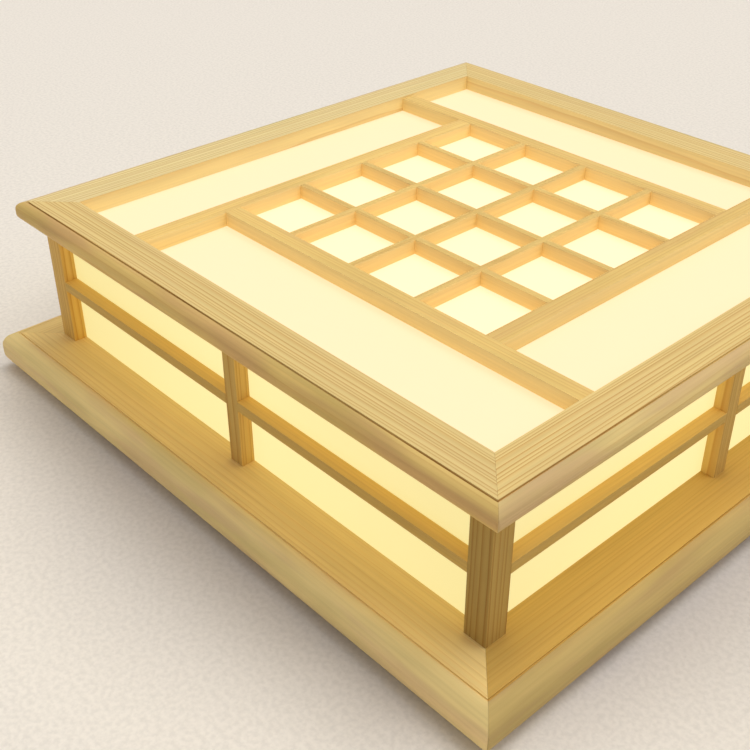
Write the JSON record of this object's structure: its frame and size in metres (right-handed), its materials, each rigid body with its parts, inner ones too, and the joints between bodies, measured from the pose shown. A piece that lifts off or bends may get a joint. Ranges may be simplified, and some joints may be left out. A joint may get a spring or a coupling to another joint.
{
  "type": "ceiling lamp",
  "caption": "Square pine ceiling lamp with a pinwheel lattice face and opal side panels; its shade lifts off a steel ceiling chassis.",
  "frame": {"origin": "centre of the lamp's back, on the ceiling plane", "axes": "+Z from the ceiling into the room, +X and +Y along the square's sides"},
  "size_m": [0.45, 0.45, 0.1233],
  "materials": {
    "pine": "clear satin lacquer on straight-grained pine",
    "opal_face": "opal sheet, lit from behind",
    "opal_side": "opal sheet, lit from behind",
    "white_steel": "white powder coat",
    "board_white": "white solder mask on an aluminium core",
    "lens_clear": "clear moulded lens",
    "white_plastic": "moulded",
    "cream_plastic": "moulded",
    "black_rubber": "plain",
    "zinc_plate": "nickel plate"
  },
  "bodies": {
    "chassis": {"cable_bush": "black_rubber", "chassis_tray": "white_steel", "led_board_1": "board_white", "led_board_2": "board_white", "led_board_3": "board_white", "led_board_4": "board_white", "led_driver": "white_plastic", "led_lens_1": "lens_clear", "led_lens_2": "lens_clear", "led_lens_3": "lens_clear", "led_lens_4": "lens_clear", "terminal_block": "cream_plastic"},
    "shade": {"base_rail_back": "pine", "base_rail_front": "pine", "base_rail_left": "pine", "base_rail_right": "pine", "corner_block_back_left": "pine", "corner_block_back_right": "pine", "corner_block_front_left": "pine", "corner_block_front_right": "pine", "corner_post_back_left": "pine", "corner_post_back_right": "pine", "corner_post_front_left": "pine", "corner_post_front_right": "pine", "diffuser_bead_back": "pine", "diffuser_bead_front": "pine", "diffuser_bead_left": "pine", "diffuser_bead_right": "pine", "face_diffuser": "opal_face", "face_rail_back": "pine", "face_rail_front": "pine", "face_rail_left": "pine", "face_rail_right": "pine", "lattice_bar_back": "pine", "lattice_bar_front": "pine", "lattice_bar_left": "pine", "lattice_bar_right": "pine", "lattice_slat_x1": "pine", "lattice_slat_x2": "pine", "lattice_slat_x3": "pine", "lattice_slat_y1": "pine", "lattice_slat_y2": "pine", "lattice_slat_y3": "pine", "magnet_back_left": "zinc_plate", "magnet_back_right": "zinc_plate", "magnet_front_left": "zinc_plate", "magnet_front_right": "zinc_plate", "mid_post_back": "pine", "mid_post_front": "pine", "mid_post_left": "pine", "mid_post_right": "pine", "side_diffuser_back": "opal_side", "side_diffuser_front": "opal_side", "side_diffuser_left": "opal_side", "side_diffuser_right": "opal_side", "side_rail_back": "pine", "side_rail_front": "pine", "side_rail_left": "pine", "side_rail_right": "pine"}
  },
  "joints": [
    {"name": "shade_lift_off", "type": "slide", "parent": "chassis", "child": "shade", "axis": [0, 0, 1], "range_m": [0, 0.13]}
  ]
}
